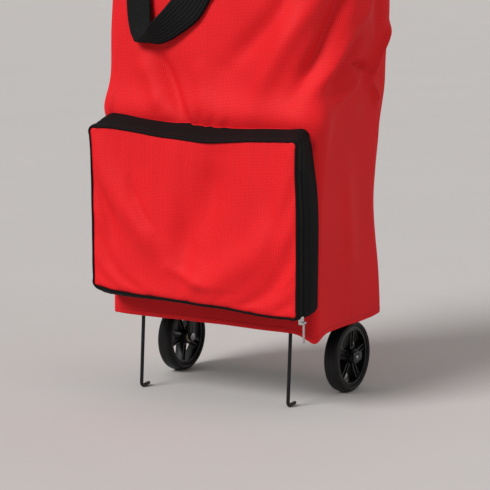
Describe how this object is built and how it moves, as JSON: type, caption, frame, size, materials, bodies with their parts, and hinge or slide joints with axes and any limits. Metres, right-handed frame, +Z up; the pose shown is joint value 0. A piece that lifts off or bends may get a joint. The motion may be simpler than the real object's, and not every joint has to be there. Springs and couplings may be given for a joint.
{
  "type": "shopping trolley bag",
  "caption": "Upright open-top cloth shopping bag on two detachable spoked wheels that fold flat, with a folding wire stand, a zip case on the front and webbing handles.",
  "frame": {"origin": "on the floor, at the middle of the object's plan", "axes": "+Z up, the zip case faces -Y, +X is the right-hand side seen from the front"},
  "size_m": [0.3354, 0.2444, 0.684],
  "materials": {
    "red_cloth": "woven oxford polyester",
    "black_tape": "woven zip tape",
    "black_webbing": "ribbed webbing",
    "board": "pressed board",
    "black_steel": "black powder coat",
    "black_wire": "black coated wire",
    "bright_steel": "zinc plated",
    "bush": "moulded nylon",
    "wheel_plastic": "moulded polypropylene",
    "tyre": "moulded rubber",
    "tab_plastic": "moulded plastic",
    "zip_metal": "polished zinc"
  },
  "bodies": {
    "bag": {"front_panel": "red_cloth", "back_panel": "red_cloth", "left_panel": "red_cloth", "right_panel": "red_cloth", "bottom_panel": "red_cloth", "top_hem": "red_cloth", "base_board": "board", "base_plate": "black_steel", "base_rivets": "bright_steel", "rivet_washers": "bright_steel", "left_stand_clip": "black_steel", "right_stand_clip": "black_steel", "left_hinge_lug": "black_steel", "right_hinge_lug": "black_steel", "left_hinge_pin": "bright_steel", "right_hinge_pin": "bright_steel", "case_gusset": "black_tape", "zip_chain": "black_tape", "front_handle_ends": "black_webbing", "rear_handle_ends": "black_webbing"},
    "stand": {"wire_stand": "black_wire"},
    "left_arm": {"left_wheel_arm": "black_steel", "left_axle": "bright_steel"},
    "left_hub_sleeve": {"left_bush": "bush"},
    "left_wheel": {"left_wheel_core": "wheel_plastic", "left_wheel_hub": "wheel_plastic", "left_tyre": "tyre"},
    "left_tab": {"left_release_tab": "tab_plastic"},
    "right_arm": {"right_wheel_arm": "black_steel", "right_axle": "bright_steel"},
    "right_hub_sleeve": {"right_bush": "bush"},
    "right_wheel": {"right_wheel_core": "wheel_plastic", "right_wheel_hub": "wheel_plastic", "right_tyre": "tyre"},
    "right_tab": {"right_release_tab": "tab_plastic"},
    "lid": {"lid_band": "black_tape", "lid_panel": "red_cloth"},
    "slider": {"zip_slider": "zip_metal"},
    "puller": {"zip_puller": "zip_metal"},
    "front_loop": {"front_handle": "black_webbing"},
    "rear_loop": {"rear_handle": "black_webbing"}
  },
  "joints": [
    {"name": "stand_fold", "type": "hinge", "parent": "bag", "child": "stand", "pos_m": [0, -0.0574, 0.109], "axis": [1, 0, 0], "range_deg": [0, 80]},
    {"name": "left_arm_fold", "type": "hinge", "parent": "bag", "child": "left_arm", "pos_m": [-0.1209, 0.0671, 0.109], "axis": [0, -1, 0], "range_deg": [0, 90]},
    {"name": "left_wheel_pull", "type": "slide", "parent": "left_arm", "child": "left_hub_sleeve", "axis": [-1, 0, 0], "range_m": [0, 0.04]},
    {"name": "left_wheel_spin", "type": "hinge", "parent": "left_hub_sleeve", "child": "left_wheel", "pos_m": [-0.137, 0.0671, 0.05], "axis": [1, 0, 0], "continuous": true},
    {"name": "left_tab_press", "type": "slide", "parent": "left_wheel", "child": "left_tab", "axis": [0, -1, 0], "range_m": [0, 0.003], "stiffness_N_per_m": 400, "springref_m": -0.001},
    {"name": "right_arm_fold", "type": "hinge", "parent": "bag", "child": "right_arm", "pos_m": [0.1209, 0.0671, 0.109], "axis": [0, 1, 0], "range_deg": [0, 90]},
    {"name": "right_wheel_pull", "type": "slide", "parent": "right_arm", "child": "right_hub_sleeve", "axis": [1, 0, 0], "range_m": [0, 0.04]},
    {"name": "right_wheel_spin", "type": "hinge", "parent": "right_hub_sleeve", "child": "right_wheel", "pos_m": [0.137, 0.0671, 0.05], "axis": [1, 0, 0], "continuous": true},
    {"name": "right_tab_press", "type": "slide", "parent": "right_wheel", "child": "right_tab", "axis": [0, -1, 0], "range_m": [0, 0.003], "stiffness_N_per_m": 400, "springref_m": -0.001},
    {"name": "lid_open", "type": "hinge", "parent": "bag", "child": "lid", "pos_m": [0, -0.11005, 0.134], "axis": [1, 0, 0], "range_deg": [0, 95]},
    {"name": "slider_run", "type": "slide", "parent": "bag", "child": "slider", "axis": [0, 0, 1], "range_m": [0, 0.19]},
    {"name": "puller_swing", "type": "hinge", "parent": "slider", "child": "puller", "pos_m": [0.1683, -0.1079, 0.12825], "axis": [0, -1, 0], "range_deg": [0, 150]},
    {"name": "front_handle_swing", "type": "hinge", "parent": "bag", "child": "front_loop", "pos_m": [0, -0.0728, 0.6798], "axis": [-1, 0, 0], "range_deg": [0, 180]},
    {"name": "rear_handle_swing", "type": "hinge", "parent": "bag", "child": "rear_loop", "pos_m": [0, 0.121, 0.6798], "axis": [1, 0, 0], "range_deg": [0, 180]}
  ]
}
